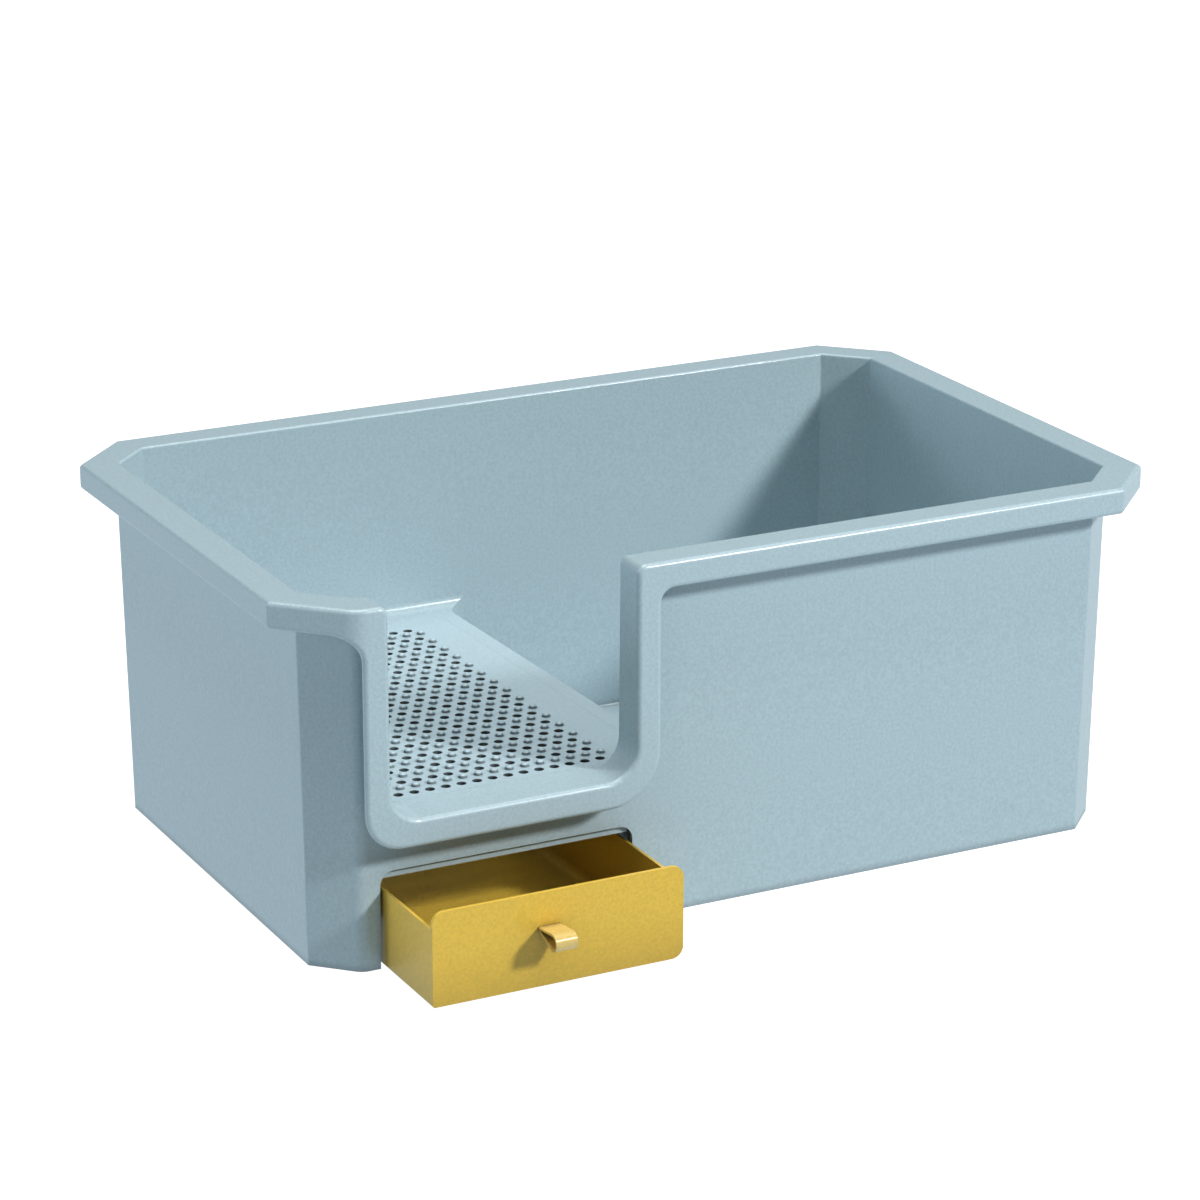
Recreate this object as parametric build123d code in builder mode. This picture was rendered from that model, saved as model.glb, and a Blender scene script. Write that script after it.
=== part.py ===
"""Open litter box with a cut-away entry, a perforated step and a drawer below it.

Millimetres. X runs along the front, Y towards the back, Z up. The origin is the
middle of the tub's footprint, on the ground. The drawer stands part open.
"""

from build123d import *
import math
import os

# Tub: eight-sided, with a drafted wall and a turned-down rim
RIM_LENGTH = 600.0
RIM_DEPTH = 385.0
HEIGHT = 235.0
CORNER_LEG = 39.0
WALL = 2.5
FLOOR = 4.0
DRAFT = 3.9
RIM_OVERHANG = 20.8
SKIRT_HEIGHT = 17.0
FLANGE = 3.0
SKIRT_WALL = 2.5
RIM_CORNER_RADIUS = 18.0
WALL_CORNER_RADIUS = 10.0
SMALL_CORNER_RADIUS = 2.0
RIM_EDGE_RADIUS = 3.0
RIM_INNER_RADIUS = 1.5

# Entry notch in the front wall, with its raised band
NOTCH_FROM_LEFT = 59.0
NOTCH_WIDTH = 161.0
NOTCH_BOTTOM = 101.5
NOTCH_RADIUS = 20.0
NOTCH_TOP_RADIUS = 5.5
BAND_SIDE = 16.0
BAND_BELOW = 17.5
BAND_RADIUS_LEFT = 24.0
BAND_RADIUS_RIGHT = 34.0
BAND_WEB_LEFT = 16.0
BAND_WEB_RIGHT = 9.0

# Step inside the tub, over the drawer bay
STEP_LENGTH = 259.0
STEP_FALL = 6.2
STEP_SIDE_WALL = 2.5
STEP_CORNER_RADIUS = 18.0
STEP_COVE_RADIUS = 7.0
FLOOR_RADIUS = 1.5

# Lift-out perforated plate, set into the step; margins are from the rim's edges,
# and the right one from the step's end
PLATE_MARGIN_LEFT = 38.0
PLATE_MARGIN_RIGHT = 11.0
PLATE_MARGIN_FRONT = 32.5
PLATE_MARGIN_BACK = 41.5
PLATE_THICKNESS = 3.0
PLATE_GAP = 0.08
PLATE_CORNER_RADIUS = 14.0
LEDGE_WIDTH = 4.0
LEDGE_THICKNESS = 2.5
HOLE_DIAMETER = 6.1
HOLE_PITCH_X = 10.3
HOLE_PITCH_Y = 18.7
HOLE_COLUMNS = 16
HOLE_ROWS = 16
FIELD_SHIFT_X = -4.5
FIELD_SHIFT_Y = -5.9
NUB_DIAMETER = 5.4
NUB_SIDE_HEIGHT = 1.5
NUB_SIDE_TAPER = 15.0
NUB_CROWN_HEIGHT = 0.8
NUB_CROWN_TAPER = 50.0
RIB_WIDTH = 2.0
RIB_HEIGHT = 8.0
RIB_EVERY = 4

# Drawer and its way through the front wall
DRAWER_FROM_LEFT = 62.8
DRAWER_WIDTH = 164.1
DRAWER_MARGIN_BACK = 46.8
DRAWER_BOTTOM = 2.2
PANEL_HEIGHT = 59.3
PANEL_THICKNESS = 2.3
PANEL_RADIUS = 7.5
DRAWER_SIDE_HEIGHT = 48.8
DRAWER_WALL = 1.8
DRAWER_EDGE_RADIUS = 1.2
DRAWER_PULLED = 69.6
OPENING_SIDE_GAP = 1.7
OPENING_TOP_GAP = 0.5
OPENING_RADIUS = 9.0
LIP_DROP = 5.1
LIP_THICKNESS = 2.5
LIP_ROOT = 9.0
LIP_END_GAP = 0.5
STOP_GAP = 0.3

# Strap pull, held by a rod behind the panel
PULL_SHIFT_X = -7.1
PULL_HEIGHT = 38.8
PULL_WIDTH = 14.0
PULL_REACH = 24.0
PULL_ROLL_DIAMETER = 10.8
PULL_ROLL_DROP = 1.8
STRAP_THICKNESS = 1.4
SLOT_GAP = 0.2
ROD_DIAMETER = 3.0
ROD_OVERHANG = 4.0

# Runners that carry the drawer, screwed up into posts under the step
RUNNER_THICKNESS = 1.5
RUNNER_CLEARANCE = 0.3
RUNNER_SIDE_GAP = 0.4
RUNNER_SHELF = 12.0
RUNNER_TOP = 24.0
RUNNER_MARGIN = 47.5
POST_DIAMETER = 8.0
POST_FROM_LEFT = 36.0
POST_FROM_STEP_END = 8.8
POST_FROM_RUNNER_END = 15.0
PILOT_DIAMETER = 3.2
PILOT_DEPTH = 14.0
SCREW_LENGTH = 12.0
SCREW_GAP = 0.05
SCREW_HEAD_DIAMETER = 7.0
SCREW_HEAD_HEIGHT = 2.4
SCREW_HOLE_DIAMETER = 4.4

# Places worked out from the sizes above
OUTSIDE = 10.0
LEFT_END_X = -RIM_LENGTH / 2
FRONT_FACE_Y = -RIM_DEPTH / 2
RIM_UNDERSIDE = HEIGHT - SKIRT_HEIGHT
NOTCH_LEFT = LEFT_END_X + NOTCH_FROM_LEFT
NOTCH_RIGHT = NOTCH_LEFT + NOTCH_WIDTH
BAND_BOTTOM = NOTCH_BOTTOM - BAND_BELOW
STEP_RIGHT = LEFT_END_X + STEP_LENGTH
PLATE_LEFT = LEFT_END_X + PLATE_MARGIN_LEFT
PLATE_RIGHT = STEP_RIGHT - PLATE_MARGIN_RIGHT
PLATE_FRONT = FRONT_FACE_Y + PLATE_MARGIN_FRONT
PLATE_BACK = RIM_DEPTH / 2 - PLATE_MARGIN_BACK
FIELD_CENTRE_X = (PLATE_LEFT + PLATE_RIGHT) / 2 + FIELD_SHIFT_X
FIELD_CENTRE_Y = (PLATE_FRONT + PLATE_BACK) / 2 + FIELD_SHIFT_Y
DRAWER_LEFT = LEFT_END_X + DRAWER_FROM_LEFT
DRAWER_RIGHT = DRAWER_LEFT + DRAWER_WIDTH
DRAWER_CENTRE_X = DRAWER_LEFT + DRAWER_WIDTH / 2
PULL_CENTRE_X = DRAWER_CENTRE_X + PULL_SHIFT_X
PANEL_TOP = DRAWER_BOTTOM + PANEL_HEIGHT
OPENING_TOP = PANEL_TOP + OPENING_TOP_GAP
LIP_BOTTOM = OPENING_TOP - LIP_DROP
RUNNER_FRONT = FRONT_FACE_Y + RUNNER_MARGIN
RUNNER_LENGTH = RIM_DEPTH - 2 * RUNNER_MARGIN
POST_LEFT_X = LEFT_END_X + POST_FROM_LEFT
POST_RIGHT_X = STEP_RIGHT - POST_FROM_STEP_END
POST_SPACING = RUNNER_LENGTH / 2 - POST_FROM_RUNNER_END
RIB_WALL_X = LEFT_END_X + RIM_OVERHANG + DRAFT + WALL / 2


def wall_inset(z):
    """How far the wall's outer face lies inside the rim's edge at height z."""
    return RIM_OVERHANG + DRAFT * (1 - z / HEIGHT)


def wall_front_y(z):
    """Y of the front wall's outer face at height z."""
    return FRONT_FACE_Y + wall_inset(z)


PANEL_CLOSED_Y = wall_front_y(PANEL_TOP / 2)
PANEL_FRONT_Y = PANEL_CLOSED_Y - DRAWER_PULLED
DRAWER_DEPTH = RIM_DEPTH / 2 - DRAWER_MARGIN_BACK - PANEL_CLOSED_Y
STEP_START_Y = wall_front_y(NOTCH_BOTTOM) + WALL
STEP_RUN = -2 * STEP_START_Y
STEP_TILT = math.degrees(math.atan2(STEP_FALL, STEP_RUN))
STEP_PLANE = Plane(
    origin=(0, STEP_START_Y, NOTCH_BOTTOM),
    x_dir=(1, 0, 0),
    z_dir=(0, math.sin(math.radians(STEP_TILT)), math.cos(math.radians(STEP_TILT))),
)


def step_height(y):
    """Height of the step's top at y."""
    return NOTCH_BOTTOM - (y - STEP_START_Y) * math.tan(math.radians(STEP_TILT))


def on_step(y):
    """Distance of y from the step's front, measured along its slope."""
    return (y - STEP_START_Y) / math.cos(math.radians(STEP_TILT))


def octagon(inset, front_left_radius):
    """Eight-sided outline, inset from the rim's edge, with one softer corner."""
    x = RIM_LENGTH / 2 - inset
    y = RIM_DEPTH / 2 - inset
    leg = CORNER_LEG - (2 - math.sqrt(2)) * inset
    corners = [
        (leg - x, -y),
        (x - leg, -y),
        (x, leg - y),
        (x, y - leg),
        (x - leg, y),
        (leg - x, y),
        (-x, y - leg),
        (-x, leg - y),
    ]
    radii = [front_left_radius] + [SMALL_CORNER_RADIUS] * (len(corners) - 1)
    with BuildSketch(mode=Mode.PRIVATE) as outline:
        with BuildLine():
            FilletPolyline(*corners, radius=radii, close=True)
        make_face()
    return outline.sketch


def prism(inset, front_left_radius, bottom, top):
    """Upright eight-sided block."""
    with BuildPart(mode=Mode.PRIVATE) as block:
        with BuildSketch(Plane.XY.offset(bottom)):
            add(octagon(inset, front_left_radius))
        extrude(amount=top - bottom)
    return block.part


def drafted(thickness, bottom, top, front_left_radius):
    """Block that follows the wall's draft, inset by a wall thickness."""
    with BuildPart(mode=Mode.PRIVATE) as block:
        for z in (bottom, top):
            with BuildSketch(Plane.XY.offset(z)):
                add(octagon(wall_inset(z) + thickness, front_left_radius))
        loft(ruled=True)
    return block.part


def notch_outline(grow):
    """Entry notch seen from the front, grown outwards by a wall thickness."""
    left = NOTCH_LEFT - grow
    right = NOTCH_RIGHT + grow
    bottom = NOTCH_BOTTOM - grow
    radius = NOTCH_RADIUS + grow
    with BuildSketch(mode=Mode.PRIVATE) as outline:
        with BuildLine():
            FilletPolyline(
                (left, HEIGHT + OUTSIDE),
                (left, bottom),
                (right, bottom),
                (right, HEIGHT + OUTSIDE),
                radius=radius,
            )
            Line((right, HEIGHT + OUTSIDE), (left, HEIGHT + OUTSIDE))
        make_face()
    return outline.sketch


def notch_mouth():
    """Notch outline with the rounded shoulders that lead into the rim's top."""
    flare = NOTCH_TOP_RADIUS
    with BuildSketch(mode=Mode.PRIVATE) as outline:
        add(notch_outline(0))
        for side, x in ((-1, NOTCH_LEFT), (1, NOTCH_RIGHT)):
            with Locations((x + side * flare / 2, HEIGHT - flare / 2)):
                Rectangle(flare, flare)
            with Locations((x + side * flare, HEIGHT - flare)):
                Circle(flare, mode=Mode.SUBTRACT)
    return outline.sketch


def band_outline():
    """Band round the notch, widening into webs under the rim."""
    left = NOTCH_LEFT - BAND_SIDE
    right = NOTCH_RIGHT + BAND_SIDE
    middle = (left + right) / 2
    with BuildSketch(mode=Mode.PRIVATE) as outline:
        with BuildLine():
            FilletPolyline(
                (left - BAND_WEB_LEFT - OUTSIDE, RIM_UNDERSIDE + OUTSIDE),
                (left - BAND_WEB_LEFT - OUTSIDE, RIM_UNDERSIDE),
                (left, RIM_UNDERSIDE),
                (left, BAND_BOTTOM),
                (middle, BAND_BOTTOM),
                radius=(0, BAND_WEB_LEFT, BAND_RADIUS_LEFT),
            )
            FilletPolyline(
                (middle, BAND_BOTTOM),
                (right, BAND_BOTTOM),
                (right, RIM_UNDERSIDE),
                (right + BAND_WEB_RIGHT + OUTSIDE, RIM_UNDERSIDE),
                (right + BAND_WEB_RIGHT + OUTSIDE, RIM_UNDERSIDE + OUTSIDE),
                radius=(BAND_RADIUS_RIGHT, BAND_WEB_RIGHT, 0),
            )
            Line(
                (right + BAND_WEB_RIGHT + OUTSIDE, RIM_UNDERSIDE + OUTSIDE),
                (left - BAND_WEB_LEFT - OUTSIDE, RIM_UNDERSIDE + OUTSIDE),
            )
        make_face()
    return outline.sketch


def from_front(sketch, start, stop):
    """Block cut out of a front-view outline, between two Y planes."""
    with BuildPart(mode=Mode.PRIVATE) as block:
        with BuildSketch(Plane.XZ.offset(-start)):
            add(sketch)
        extrude(amount=start - stop)
    return block.part


def step_block(lowered, right):
    """Block under a plane parallel to the step's top, from the left to x = right."""
    front = -RIM_DEPTH / 2
    back = RIM_DEPTH / 2
    with BuildPart(mode=Mode.PRIVATE) as block:
        with BuildSketch(Plane.YZ.offset(-RIM_LENGTH / 2)):
            with BuildLine():
                Polyline(
                    (front, -OUTSIDE),
                    (back, -OUTSIDE),
                    (back, step_height(back) - lowered),
                    (front, step_height(front) - lowered),
                    close=True,
                )
            make_face()
        extrude(amount=right + RIM_LENGTH / 2)
    return block.part


def cove_bar():
    """Hollow-rounded bar in the corner between the step's top and the back wall."""
    radius = STEP_COVE_RADIUS
    back = -STEP_START_Y
    top = step_height(back)
    with BuildPart(mode=Mode.PRIVATE) as bar:
        with BuildSketch(Plane.YZ.offset(-RIM_LENGTH / 2)):
            with Locations((back, top)):
                Rectangle(2 * radius, 2 * radius)
            with Locations((back - radius, top + radius)):
                Circle(radius, mode=Mode.SUBTRACT)
        extrude(amount=RIM_LENGTH)
    return bar.part


def step_plan():
    """The step from above: straight, with hollow webs where it meets the walls."""
    radius = STEP_CORNER_RADIUS
    middle = (STEP_RIGHT - RIM_LENGTH / 2) / 2
    with BuildSketch(mode=Mode.PRIVATE) as plan:
        with Locations((middle, 0)):
            Rectangle(STEP_RIGHT + RIM_LENGTH / 2, RIM_DEPTH)
        for side in (-1, 1):
            wall_y = -side * STEP_START_Y
            with Locations((STEP_RIGHT, wall_y)):
                Rectangle(2 * radius, 2 * radius)
            with Locations((STEP_RIGHT + radius, wall_y - side * radius)):
                Circle(radius, mode=Mode.SUBTRACT)
    return plan.sketch


def basin():
    """Space inside the tub, with the step left standing in it."""
    with BuildPart(mode=Mode.PRIVATE) as step:
        with BuildSketch(Plane.XY.offset(-OUTSIDE)):
            add(step_plan())
        extrude(amount=HEIGHT)
        add(step_block(0, RIM_LENGTH) + cove_bar(), mode=Mode.INTERSECT)
    with BuildPart(mode=Mode.PRIVATE) as space:
        add(drafted(WALL, FLOOR, HEIGHT, SMALL_CORNER_RADIUS))
        add(step.part, mode=Mode.SUBTRACT)
        fillet(space.faces().sort_by(Axis.Z)[0].edges(), FLOOR_RADIUS)
    return space.part


def bay():
    """Space under the step, open at the bottom, roofed by the step's frame."""
    roof = PLATE_THICKNESS + LEDGE_THICKNESS
    under = step_block(roof, STEP_RIGHT - STEP_SIDE_WALL)
    return under & drafted(WALL, -OUTSIDE, HEIGHT, SMALL_CORNER_RADIUS)


def plate_block(shrink, top, bottom):
    """Rectangle of the plate in the step's sloping plane, between two depths."""
    front = on_step(PLATE_FRONT) + shrink
    back = on_step(PLATE_BACK) - shrink
    left = PLATE_LEFT + shrink
    right = PLATE_RIGHT - shrink
    with BuildPart(mode=Mode.PRIVATE) as block:
        with BuildSketch(STEP_PLANE.offset(top)):
            with Locations(((left + right) / 2, (front + back) / 2)):
                RectangleRounded(right - left, back - front, PLATE_CORNER_RADIUS)
        extrude(amount=bottom - top)
    return block.part


def drawer_outline(grow, top, bottom):
    """Front view of the drawer's way through the wall, round at the top."""
    left = DRAWER_LEFT - grow
    right = DRAWER_RIGHT + grow
    with BuildSketch(mode=Mode.PRIVATE) as outline:
        with BuildLine():
            FilletPolyline(
                (left, bottom),
                (left, top),
                (right, top),
                (right, bottom),
                radius=OPENING_RADIUS,
            )
            Line((right, bottom), (left, bottom))
        make_face()
    return outline.sketch


def tray_section(inset):
    """Front view of the tray, open at the top, inset by a wall thickness."""
    left = DRAWER_LEFT + inset
    right = DRAWER_RIGHT - inset
    bottom = DRAWER_BOTTOM + inset
    top = DRAWER_BOTTOM + DRAWER_SIDE_HEIGHT
    with BuildSketch(mode=Mode.PRIVATE) as section:
        with BuildLine():
            FilletPolyline(
                (left, top),
                (left, bottom),
                (right, bottom),
                (right, top),
                radius=(DRAWER_EDGE_RADIUS, PANEL_RADIUS - inset),
            )
            Line((right, top), (left, top))
        make_face()
    return section.sketch


def at_mouth(edge):
    """True for an edge that lies within the notch's width."""
    reach = NOTCH_TOP_RADIUS + RIM_EDGE_RADIUS / 2
    return NOTCH_LEFT - reach < edge.center().X < NOTCH_RIGHT + reach


POSTS = [
    (x, y)
    for x in (POST_LEFT_X, POST_RIGHT_X)
    for y in (-POST_SPACING, 0, POST_SPACING)
]

with BuildPart() as tub:
    # Rim and band: solid first, with rounded front edges, then hollowed from behind
    add(prism(0, RIM_CORNER_RADIUS, RIM_UNDERSIDE, HEIGHT))
    band_back = wall_front_y(HEIGHT) + WALL
    band = from_front(band_outline(), FRONT_FACE_Y - OUTSIDE, band_back)
    add(band & prism(0, RIM_CORNER_RADIUS, 0, HEIGHT))
    mouth = from_front(notch_mouth(), FRONT_FACE_Y - OUTSIDE, STEP_START_Y + OUTSIDE)
    add(mouth, mode=Mode.SUBTRACT)
    rim_top = tub.faces().filter_by(Axis.Z).sort_by(Axis.Z)[-1]
    rim_front = tub.faces().filter_by(Axis.Y).sort_by(Axis.Y)[0]
    rim_edges = rim_top.outer_wire().edges().filter_by(lambda e: not at_mouth(e))
    notch_edges = rim_front.edges().filter_by(
        lambda e: at_mouth(e) and e.center().Z > (NOTCH_BOTTOM + BAND_BOTTOM) / 2
    )
    fillet(rim_edges + notch_edges, RIM_EDGE_RADIUS)
    channel_radius = RIM_CORNER_RADIUS - SKIRT_WALL
    channel = prism(SKIRT_WALL, channel_radius, -OUTSIDE, HEIGHT - FLANGE)
    lining = from_front(notch_outline(FLANGE), FRONT_FACE_Y - OUTSIDE, 0)
    add(channel - lining, mode=Mode.SUBTRACT)

    # Wall, basin and drawer bay
    add(drafted(0, 0, HEIGHT, WALL_CORNER_RADIUS))
    add(basin(), mode=Mode.SUBTRACT)
    rim_top = tub.faces().filter_by(Axis.Z).sort_by(Axis.Z)[-1]
    fillet(rim_top.inner_wires().edges(), RIM_INNER_RADIUS)
    add(bay(), mode=Mode.SUBTRACT)
    add(mouth, mode=Mode.SUBTRACT)

    # Drawer opening, with a stop lip behind its upper edge
    opening = drawer_outline(OPENING_SIDE_GAP, OPENING_TOP, -OUTSIDE)
    add(
        from_front(opening, FRONT_FACE_Y - OUTSIDE, STEP_START_Y + OUTSIDE),
        mode=Mode.SUBTRACT,
    )
    lip_front = PANEL_CLOSED_Y + PANEL_THICKNESS + STOP_GAP
    lip_back = lip_front + LIP_THICKNESS
    lip_width = DRAWER_WIDTH - 2 * LIP_END_GAP
    with Locations((DRAWER_CENTRE_X, lip_back, LIP_BOTTOM)):
        Box(
            lip_width,
            lip_back - lip_front,
            LIP_DROP + LIP_ROOT,
            align=(Align.CENTER, Align.MAX, Align.MIN),
        )
    with Locations((DRAWER_CENTRE_X, lip_back, OPENING_TOP + STOP_GAP)):
        Box(
            lip_width,
            lip_back - STEP_START_Y + WALL / 2,
            LIP_ROOT - STOP_GAP,
            align=(Align.CENTER, Align.MAX, Align.MIN),
        )

    # Posts for the runner screws, each tied to the nearest wall by a rib
    for x, y in POSTS:
        post_top = step_height(y) - PLATE_THICKNESS - LEDGE_THICKNESS / 2
        wall_x = (STEP_RIGHT - STEP_SIDE_WALL / 2) if x > DRAWER_CENTRE_X else RIB_WALL_X
        with BuildSketch(Plane.XY.offset(RUNNER_TOP)):
            with Locations((x, y)):
                Circle(POST_DIAMETER / 2)
            with Locations(((x + wall_x) / 2, y)):
                Rectangle(abs(x - wall_x), RIB_WIDTH)
        extrude(amount=post_top - RUNNER_TOP)
        with BuildSketch(Plane.XY.offset(RUNNER_TOP)):
            with Locations((x, y)):
                Circle(PILOT_DIAMETER / 2)
        extrude(amount=PILOT_DEPTH, mode=Mode.SUBTRACT)

    # Seat for the lift-out plate: a rebate with a ledge round an open middle
    add(plate_block(0, OUTSIDE, -PLATE_THICKNESS), mode=Mode.SUBTRACT)
    add(
        plate_block(LEDGE_WIDTH, OUTSIDE, -PLATE_THICKNESS - 2 * LEDGE_THICKNESS),
        mode=Mode.SUBTRACT,
    )

HOLE_GRID = [
    (
        FIELD_CENTRE_X + (column - (HOLE_COLUMNS - 1) / 2) * HOLE_PITCH_X,
        on_step(FIELD_CENTRE_Y) + (row - (HOLE_ROWS - 1) / 2) * HOLE_PITCH_Y,
    )
    for row in range(HOLE_ROWS)
    for column in range(HOLE_COLUMNS)
]
NUB_GRID = [
    (x + HOLE_PITCH_X / 2, y + HOLE_PITCH_Y / 2)
    for x, y in HOLE_GRID
    if y < on_step(FIELD_CENTRE_Y) + (HOLE_ROWS - 2) / 2 * HOLE_PITCH_Y
]
RIB_ROWS = [
    on_step(FIELD_CENTRE_Y) + (row + 0.5 - (HOLE_ROWS - 1) / 2) * HOLE_PITCH_Y
    for row in range(RIB_EVERY // 2 - 1, HOLE_ROWS - 1, RIB_EVERY)
]

with BuildPart() as step_plate:
    add(plate_block(PLATE_GAP, 0, -PLATE_THICKNESS))
    with BuildSketch(STEP_PLANE.offset(-PLATE_THICKNESS)):
        for y in RIB_ROWS:
            with Locations(((PLATE_LEFT + PLATE_RIGHT) / 2, y)):
                Rectangle(
                    PLATE_RIGHT - PLATE_LEFT - 2 * LEDGE_WIDTH - 2 * RIB_WIDTH, RIB_WIDTH
                )
    extrude(amount=-RIB_HEIGHT)
    with BuildSketch(STEP_PLANE):
        with Locations(HOLE_GRID):
            Circle(HOLE_DIAMETER / 2)
    extrude(amount=-PLATE_THICKNESS, mode=Mode.SUBTRACT)
    nub_slope = math.tan(math.radians(NUB_SIDE_TAPER))
    crown_radius = NUB_DIAMETER / 2 - NUB_SIDE_HEIGHT * nub_slope
    with BuildSketch(STEP_PLANE):
        with Locations(NUB_GRID):
            Circle(NUB_DIAMETER / 2)
    extrude(amount=NUB_SIDE_HEIGHT, taper=NUB_SIDE_TAPER)
    with BuildSketch(STEP_PLANE.offset(NUB_SIDE_HEIGHT)):
        with Locations(NUB_GRID):
            Circle(crown_radius)
    extrude(amount=NUB_CROWN_HEIGHT, taper=NUB_CROWN_TAPER)

with BuildPart() as drawer:
    # Tray, open at the top, with its front closed by a taller panel
    panel_back = PANEL_FRONT_Y + PANEL_THICKNESS
    tray_back = PANEL_FRONT_Y + DRAWER_DEPTH
    add(from_front(tray_section(0), PANEL_FRONT_Y + PANEL_THICKNESS / 2, tray_back))
    add(
        from_front(tray_section(DRAWER_WALL), panel_back, tray_back - DRAWER_WALL),
        mode=Mode.SUBTRACT,
    )
    with BuildSketch(Plane.XZ.offset(-PANEL_FRONT_Y)):
        with BuildLine():
            FilletPolyline(
                (DRAWER_LEFT, DRAWER_BOTTOM),
                (DRAWER_RIGHT, DRAWER_BOTTOM),
                (DRAWER_RIGHT, PANEL_TOP),
                (DRAWER_LEFT, PANEL_TOP),
                radius=(DRAWER_EDGE_RADIUS, PANEL_RADIUS, PANEL_RADIUS, PANEL_RADIUS),
                close=True,
            )
        make_face()
    extrude(amount=-PANEL_THICKNESS)
    # Slot for the pull's strap
    slot_height = 2 * STRAP_THICKNESS + 2 * SLOT_GAP
    with BuildSketch(Plane.XZ.offset(-PANEL_FRONT_Y)):
        with Locations((PULL_CENTRE_X, PULL_HEIGHT)):
            Rectangle(PULL_WIDTH + 2 * SLOT_GAP, slot_height)
    extrude(amount=-PANEL_THICKNESS, mode=Mode.SUBTRACT)


def loop_outline(centre, radius, pinch_y, pinch_radius):
    """Side view of a band drawn tight from the panel's slot round a circle."""
    with BuildSketch(mode=Mode.PRIVATE) as outline:
        with Locations(centre):
            Circle(radius)
        with Locations((pinch_y, PULL_HEIGHT)):
            Circle(pinch_radius)
        make_hull()
    return outline.sketch


with BuildPart() as pull_strap:
    roll_radius = PULL_ROLL_DIAMETER / 2
    roll = (PANEL_FRONT_Y - PULL_REACH + roll_radius, PULL_HEIGHT - PULL_ROLL_DROP)
    rod_y = panel_back + ROD_DIAMETER / 2 + 2 * STRAP_THICKNESS
    rod_seat = ROD_DIAMETER / 2 + SCREW_GAP
    roll_hollow = roll_radius - STRAP_THICKNESS
    pinch_y = PANEL_FRONT_Y - STRAP_THICKNESS
    with BuildSketch(Plane.YZ.offset(PULL_CENTRE_X - PULL_WIDTH / 2)):
        add(loop_outline(roll, roll_radius, pinch_y, STRAP_THICKNESS))
        wrap_radius = rod_seat + STRAP_THICKNESS
        add(loop_outline((rod_y, PULL_HEIGHT), wrap_radius, panel_back, STRAP_THICKNESS))
        with Locations(((pinch_y + rod_y) / 2, PULL_HEIGHT)):
            Rectangle(rod_y - pinch_y, 2 * STRAP_THICKNESS)
        add(loop_outline(roll, roll_hollow, pinch_y, SCREW_GAP), mode=Mode.SUBTRACT)
        with Locations((rod_y, PULL_HEIGHT)):
            Circle(rod_seat, mode=Mode.SUBTRACT)
    extrude(amount=PULL_WIDTH)

with BuildPart() as strap_rod:
    rod_length = PULL_WIDTH + 2 * ROD_OVERHANG
    with BuildSketch(Plane.YZ.offset(PULL_CENTRE_X - rod_length / 2)):
        with Locations((rod_y, PULL_HEIGHT)):
            Circle(ROD_DIAMETER / 2)
    extrude(amount=rod_length)


def runner_profile(side, edge_x, post_x):
    """Z-shaped section of a runner, seen from the front, beside a drawer edge."""
    shelf_z = DRAWER_BOTTOM - RUNNER_CLEARANCE - RUNNER_THICKNESS
    web_x = edge_x + side * (RUNNER_SIDE_GAP + RUNNER_THICKNESS / 2)
    tab_end = post_x + side * POST_DIAMETER / 2
    with BuildSketch(mode=Mode.PRIVATE) as profile:
        shelf_end = edge_x - side * RUNNER_SHELF
        shelf_width = abs(web_x - shelf_end) + RUNNER_THICKNESS / 2
        shelf_middle = shelf_end + side * shelf_width / 2
        with Locations((shelf_middle, shelf_z + RUNNER_THICKNESS / 2)):
            Rectangle(shelf_width, RUNNER_THICKNESS)
        with Locations((web_x, (shelf_z + RUNNER_TOP) / 2)):
            Rectangle(RUNNER_THICKNESS, RUNNER_TOP - shelf_z)
        tab_start = web_x - side * RUNNER_THICKNESS / 2
        with Locations(((tab_start + tab_end) / 2, RUNNER_TOP - RUNNER_THICKNESS / 2)):
            Rectangle(abs(tab_end - tab_start), RUNNER_THICKNESS)
    return profile.sketch


def make_runner(side, edge_x, post_x):
    """One runner, with a screw hole under each of its posts."""
    with BuildPart(mode=Mode.PRIVATE) as runner:
        with BuildSketch(Plane.XZ.offset(-RUNNER_FRONT)):
            add(runner_profile(side, edge_x, post_x))
        extrude(amount=-RUNNER_LENGTH)
        with BuildSketch(Plane.XY.offset(RUNNER_TOP)):
            with Locations([post for post in POSTS if post[0] == post_x]):
                Circle(SCREW_HOLE_DIAMETER / 2)
        extrude(amount=-RUNNER_THICKNESS, mode=Mode.SUBTRACT)
    return runner.part


with BuildPart() as runner_left:
    add(make_runner(-1, DRAWER_LEFT, POST_LEFT_X))

with BuildPart() as runner_right:
    add(make_runner(1, DRAWER_RIGHT, POST_RIGHT_X))

with BuildPart() as runner_screws:
    seat_z = RUNNER_TOP - RUNNER_THICKNESS
    with BuildSketch(Plane.XY.offset(seat_z)):
        with Locations(POSTS):
            Circle(PILOT_DIAMETER / 2 - SCREW_GAP)
    extrude(amount=SCREW_LENGTH)
    with BuildSketch(Plane.XY.offset(seat_z)):
        with Locations(POSTS):
            Circle(SCREW_HEAD_DIAMETER / 2)
    extrude(amount=-SCREW_HEAD_HEIGHT)

PIECES = {
    "tub": tub,
    "step_plate": step_plate,
    "drawer": drawer,
    "pull_strap": pull_strap,
    "strap_rod": strap_rod,
    "runner_left": runner_left,
    "runner_right": runner_right,
    "runner_screws": runner_screws,
}
os.makedirs("parts", exist_ok=True)
for name, piece in PIECES.items():
    piece.part.label = name
    export_step(piece.part, f"parts/{name}.step")
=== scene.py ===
"""Looks of the drawer litter box: finishes, light, floor and camera.

Metres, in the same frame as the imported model: X along the front, Y to the back, Z up.
"""

import math

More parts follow.
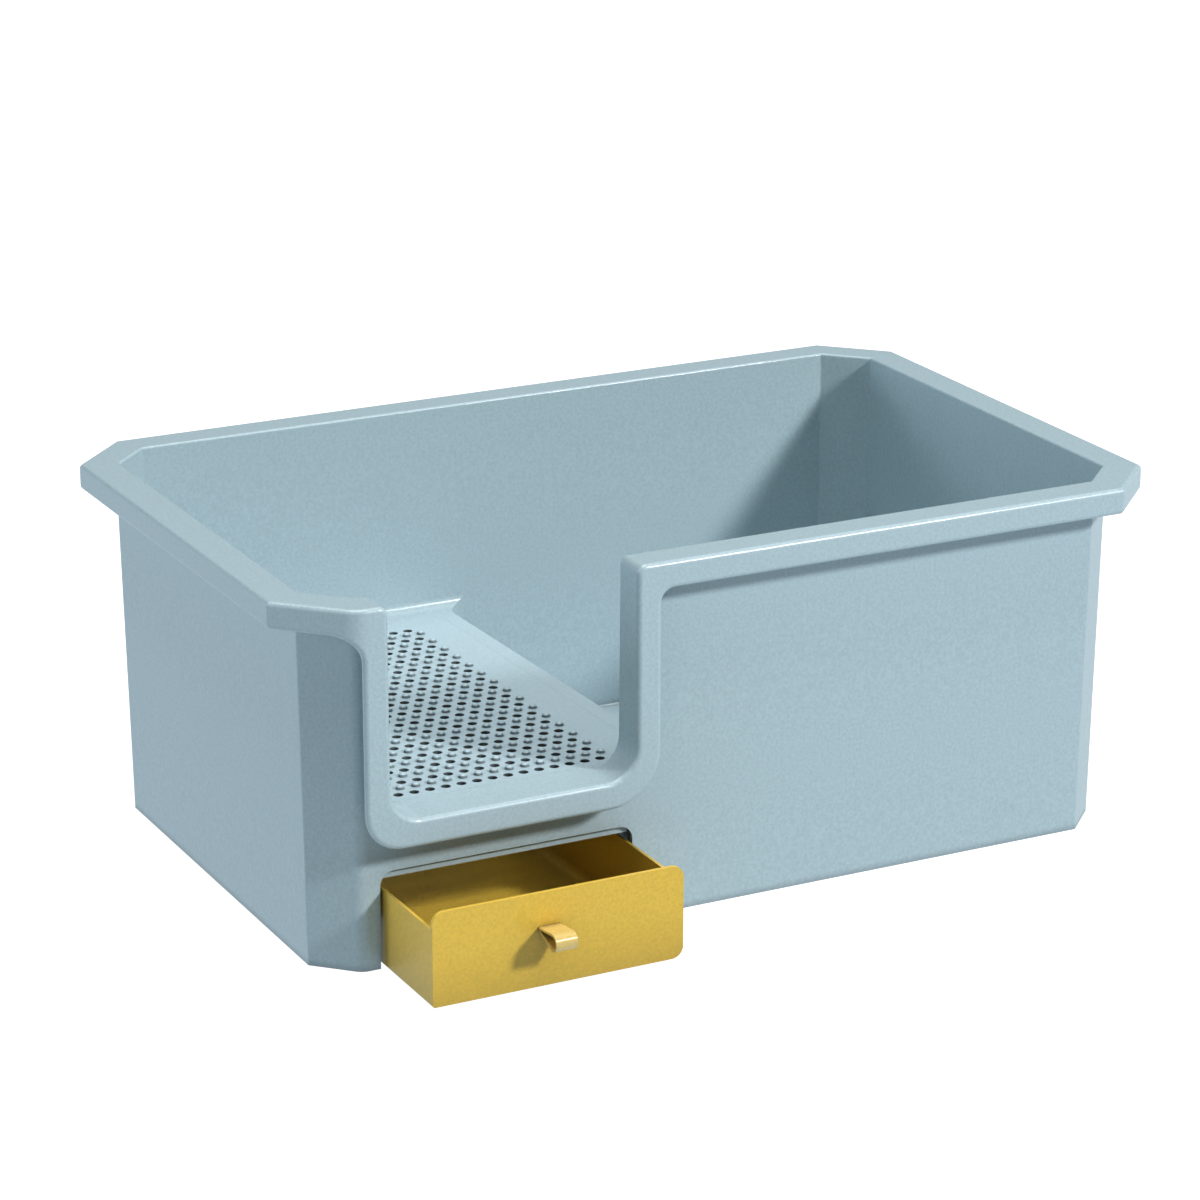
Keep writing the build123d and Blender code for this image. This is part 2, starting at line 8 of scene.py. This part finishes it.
import bpy
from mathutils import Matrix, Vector

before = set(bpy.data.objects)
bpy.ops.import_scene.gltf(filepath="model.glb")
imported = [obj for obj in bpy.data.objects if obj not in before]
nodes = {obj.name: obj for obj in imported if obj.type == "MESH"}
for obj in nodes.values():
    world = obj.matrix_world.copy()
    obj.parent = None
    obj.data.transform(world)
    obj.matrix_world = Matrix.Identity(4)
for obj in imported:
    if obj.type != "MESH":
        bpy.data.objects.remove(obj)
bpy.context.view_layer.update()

# Camera, as the photograph shows the box
CAMERA_AZIMUTH = math.radians(-27.04)
CAMERA_ELEVATION = math.radians(18.70)
CAMERA_DISTANCE = 2.6493
CAMERA_TARGET = Vector((-0.0088, -0.0028, 0.1461))
CAMERA_LENS = 124.19
SENSOR_WIDTH = 36.0

# Light, in degrees to the right of the front and above the floor
LIGHT_DISTANCE = 6.0
LIGHT_TARGET = Vector((0.0, 0.0, 0.1))
WHITE = (1.0, 1.0, 1.0)
FILL_COLOUR = (0.88, 1.0, 1.08)
LIGHTS = {
    "key": {"side": 33.0, "height": 31.0, "size": 0.7, "power": 262.0, "colour": WHITE},
    "back_left": {"side": -118.0, "height": 9.0, "size": 1.8, "power": 90.0, "colour": FILL_COLOUR},
    "front_left": {"side": -60.0, "height": 25.0, "size": 4.0, "power": 16.0, "colour": FILL_COLOUR},
    "top": {"side": 0.0, "height": 89.0, "size": 4.0, "power": 325.0, "colour": WHITE},
}
SKY_STRENGTH = 0.0
GROUND_STRENGTH = 0.76
HORIZON_SOFTNESS = 0.1

# Floor
FLOOR_SIZE = 30.0
FLOOR_COLOUR = (0.3, 0.3, 0.3, 1.0)
FLOOR_ROUGHNESS = 0.9
FLOOR_GLOW = 1.0

# Grain and cloudiness, in repeats per metre, with the bump's share and the colour's swing
GRAIN_DETAIL = 2.0
MOTTLE_DETAIL = 4.0
MOTTLE_LOW = 0.3
MOTTLE_HIGH = 0.7
PLASTIC_GRAIN = {"scale": 1100.0, "strength": 0.6}
PLASTIC_MOTTLE = {"scale": 520.0, "spread": 0.08}
STEEL_GRAIN = {"scale": 900.0, "strength": 0.4, "height": 0.00002}
STEEL_MOTTLE = {"scale": 400.0, "spread": 0.06}

# Painted shade in hollows: the colour is darkened where the surface is closed in, standing in
# for shade. How far a hollow is felt, how open the darkest and the clear ones are, and the
# share of the colour that is left in the darkest
WALL_PAINTED_SHADE = {"reach": 0.008, "darkest": 0.45, "clear": 0.85, "left": 0.6}
# The plate's painted shade turns the walls of its holes nearly black
PLATE_PAINTED_SHADE = {"reach": 0.010, "darkest": 0.52, "clear": 0.92, "left": 0.02}
# The drawer's painted shade darkens its inside
DRAWER_PAINTED_SHADE = {"reach": 0.10, "darkest": 0.2, "clear": 0.7, "left": 0.35}
STRAP_PAINTED_SHADE = {"reach": 0.006, "darkest": 0.3, "clear": 0.8, "left": 0.4}

# Colours, linear
TUB_COLOUR = (0.415, 0.54, 0.59)
DRAWER_COLOUR = (0.78, 0.51, 0.06)
STRAP_COLOUR = (0.72, 0.52, 0.16)
RUNNER_COLOUR = (0.70, 0.71, 0.72)
STEEL_COLOUR = (0.60, 0.60, 0.58)

# Finishes
PLASTIC_IOR = 1.46
GLOSS_ROUGHNESS = 0.14
STEEL_ROUGHNESS = 0.38
PLASTICS = {
    "tub_plastic": {
        "colour": TUB_COLOUR,
        "roughness": 0.4,
        "grain_height": 0.00004,
        "gloss": 0.4,
        "painted_shade": WALL_PAINTED_SHADE,
    },
    "plate_plastic": {
        "colour": TUB_COLOUR,
        "roughness": 0.4,
        "grain_height": 0.00004,
        "gloss": 0.3,
        "painted_shade": PLATE_PAINTED_SHADE,
    },
    "drawer_plastic": {
        "colour": DRAWER_COLOUR,
        "roughness": 0.45,
        "grain_height": 0.00004,
        "gloss": 0.15,
        "painted_shade": DRAWER_PAINTED_SHADE,
    },
    "strap_plastic": {
        "colour": STRAP_COLOUR,
        "roughness": 0.3,
        "grain_height": 0.00001,
        "gloss": 0.6,
        "painted_shade": STRAP_PAINTED_SHADE,
    },
    "runner_plastic": {
        "colour": RUNNER_COLOUR,
        "roughness": 0.4,
        "grain_height": 0.00002,
        "gloss": 0.3,
        "painted_shade": WALL_PAINTED_SHADE,
    },
}
STEEL = "screw_steel"
FINISH_OF = {
    "tub": "tub_plastic",
    "step_plate": "plate_plastic",
    "drawer": "drawer_plastic",
    "pull_strap": "strap_plastic",
    "runner_left": "runner_plastic",
    "runner_right": "runner_plastic",
    "runner_screws": STEEL,
    "strap_rod": STEEL,
}


def new_material(name):
    """New node material, with its tree and its Principled shader."""
    material = bpy.data.materials.new(name)
    material.use_nodes = True
    tree = material.node_tree
    shader = tree.nodes["Principled BSDF"]
    return material, tree, shader


def noise_over(tree, place, scale, detail):
    """Noise that stays with the piece."""
    noise = tree.nodes.new("ShaderNodeTexNoise")
    noise.inputs["Scale"].default_value = scale
    noise.inputs["Detail"].default_value = detail
    tree.links.new(place.outputs["Object"], noise.inputs["Vector"])
    return noise


def grained(tree, shader, place, scale, strength, height):
    """Fine grain in the surface's normal."""
    noise = noise_over(tree, place, scale, GRAIN_DETAIL)
    bump = tree.nodes.new("ShaderNodeBump")
    bump.inputs["Distance"].default_value = height
    bump.inputs["Strength"].default_value = strength
    tree.links.new(noise.outputs["Fac"], bump.inputs["Height"])
    tree.links.new(bump.outputs["Normal"], shader.inputs["Normal"])


def mottled(tree, place, colour, scale, spread):
    """Slight cloudiness of a colour, as an output to link."""
    noise = noise_over(tree, place, scale, MOTTLE_DETAIL)
    ramp = tree.nodes.new("ShaderNodeValToRGB")
    low, high = ramp.color_ramp.elements
    low.color = [c * (1 - spread) for c in colour] + [1.0]
    low.position = MOTTLE_LOW
    high.color = [min(1.0, c * (1 + spread)) for c in colour] + [1.0]
    high.position = MOTTLE_HIGH
    tree.links.new(noise.outputs["Fac"], ramp.inputs["Fac"])
    return ramp.outputs["Color"]


def painted_shade_in_hollows(tree, colour_output, reach, darkest, clear, left):
    """Painted shade: a colour made darker where the surface is closed in, as an output to link."""
    nearness = tree.nodes.new("ShaderNodeAmbientOcclusion")
    nearness.inputs["Distance"].default_value = reach
    share = tree.nodes.new("ShaderNodeMapRange")
    share.inputs["From Min"].default_value = darkest
    share.inputs["From Max"].default_value = clear
    share.inputs["To Min"].default_value = left
    share.inputs["To Max"].default_value = 1.0
    shade = tree.nodes.new("ShaderNodeMix")
    shade.data_type = "RGBA"
    shade.blend_type = "MULTIPLY"
    shade.inputs["Factor"].default_value = 1.0
    tree.links.new(nearness.outputs["AO"], share.inputs["Value"])
    tree.links.new(colour_output, shade.inputs["A"])
    tree.links.new(share.outputs["Result"], shade.inputs["B"])
    return shade.outputs["Result"]


def moulded_plastic(name, colour, roughness, grain_height, gloss, painted_shade):
    """Satin moulded plastic with a thin gloss, and painted shade darkening its colour down in its
    hollows.
    """
    material, tree, shader = new_material(name)
    shader.inputs["Roughness"].default_value = roughness
    shader.inputs["IOR"].default_value = PLASTIC_IOR
    shader.inputs["Coat Weight"].default_value = gloss
    shader.inputs["Coat Roughness"].default_value = GLOSS_ROUGHNESS
    place = tree.nodes.new("ShaderNodeTexCoord")
    grained(tree, shader, place, height=grain_height, **PLASTIC_GRAIN)
    cloudy = mottled(tree, place, colour, **PLASTIC_MOTTLE)
    # Painted shade: the base colour is darkened in corners, holes and hollows
    tree.links.new(painted_shade_in_hollows(tree, cloudy, **painted_shade), shader.inputs["Base Color"])
    return material


def zinc_plate(name, colour):
    """Dull plated steel."""
    material, tree, shader = new_material(name)
    shader.inputs["Metallic"].default_value = 1.0
    shader.inputs["Roughness"].default_value = STEEL_ROUGHNESS
    place = tree.nodes.new("ShaderNodeTexCoord")
    grained(tree, shader, place, **STEEL_GRAIN)
    cloudy = mottled(tree, place, colour, **STEEL_MOTTLE)
    tree.links.new(cloudy, shader.inputs["Base Color"])
    return material


def dress(node, material):
    """Gives a CAD node its finish."""
    slots = nodes[node].data.materials
    slots.clear()
    slots.append(material)


def toward(azimuth, elevation):
    """Unit vector out from the box, by bearing from the front and height, in radians."""
    flat = math.cos(elevation)
    return Vector((math.sin(azimuth) * flat, -math.cos(azimuth) * flat, math.sin(elevation)))


def look_at(obj, target):
    """Turns a camera or light to face a point."""
    direction = target - obj.location
    obj.rotation_euler = direction.to_track_quat("-Z", "Y").to_euler()


def area_light(name, side, height, size, power, colour):
    """Square soft box facing the box's middle."""
    data = bpy.data.lights.new(name, "AREA")
    data.shape = "SQUARE"
    data.size = size
    data.energy = power
    data.color = colour
    light = bpy.data.objects.new(name, data)
    outward = toward(math.radians(side), math.radians(height))
    light.location = LIGHT_TARGET + outward * LIGHT_DISTANCE
    look_at(light, LIGHT_TARGET)
    bpy.context.scene.collection.objects.link(light)


def make_floor():
    """Large pale floor under the box, with a glow of its own so that it stays white."""
    bpy.ops.mesh.primitive_plane_add(size=FLOOR_SIZE, location=(0, 0, 0))
    floor = bpy.context.object
    floor.name = "floor"
    material, _, shader = new_material("floor_white")
    shader.inputs["Base Color"].default_value = FLOOR_COLOUR
    shader.inputs["Roughness"].default_value = FLOOR_ROUGHNESS
    shader.inputs["Specular IOR Level"].default_value = 0.0
    shader.inputs["Emission Color"].default_value = (*WHITE, 1.0)
    shader.inputs["Emission Strength"].default_value = FLOOR_GLOW
    material.cycles.emission_sampling = "NONE"
    floor.data.materials.append(material)
    floor.visible_diffuse = False
    floor.visible_glossy = False


def make_world():
    """Cool surroundings that light the box from below the horizon only."""
    world = bpy.data.worlds.new("studio")
    world.use_nodes = True
    tree = world.node_tree
    place = tree.nodes.new("ShaderNodeTexCoord")
    split = tree.nodes.new("ShaderNodeSeparateXYZ")
    blend = tree.nodes.new("ShaderNodeMapRange")
    blend.interpolation_type = "SMOOTHSTEP"
    blend.inputs["From Min"].default_value = -HORIZON_SOFTNESS
    blend.inputs["From Max"].default_value = HORIZON_SOFTNESS
    blend.inputs["To Min"].default_value = GROUND_STRENGTH
    blend.inputs["To Max"].default_value = SKY_STRENGTH
    tree.links.new(place.outputs["Generated"], split.inputs["Vector"])
    tree.links.new(split.outputs["Z"], blend.inputs["Value"])
    background = tree.nodes["Background"]
    tree.links.new(blend.outputs["Result"], background.inputs["Strength"])
    background.inputs["Color"].default_value = (*FILL_COLOUR, 1.0)
    bpy.context.scene.world = world


def make_camera():
    """Camera at the photograph's viewing angle."""
    data = bpy.data.cameras.new("camera")
    data.lens = CAMERA_LENS
    data.sensor_width = SENSOR_WIDTH
    camera = bpy.data.objects.new("camera", data)
    outward = toward(CAMERA_AZIMUTH, CAMERA_ELEVATION)
    camera.location = CAMERA_TARGET + outward * CAMERA_DISTANCE
    look_at(camera, CAMERA_TARGET)
    bpy.context.scene.collection.objects.link(camera)
    bpy.context.scene.camera = camera


materials = {name: moulded_plastic(name, **finish) for name, finish in PLASTICS.items()}
materials[STEEL] = zinc_plate(STEEL, STEEL_COLOUR)
for node, finish_name in FINISH_OF.items():
    dress(node, materials[finish_name])

make_floor()
make_world()
make_camera()
for light_name, light in LIGHTS.items():
    area_light(light_name, **light)
bpy.context.scene.view_settings.view_transform = "Standard"
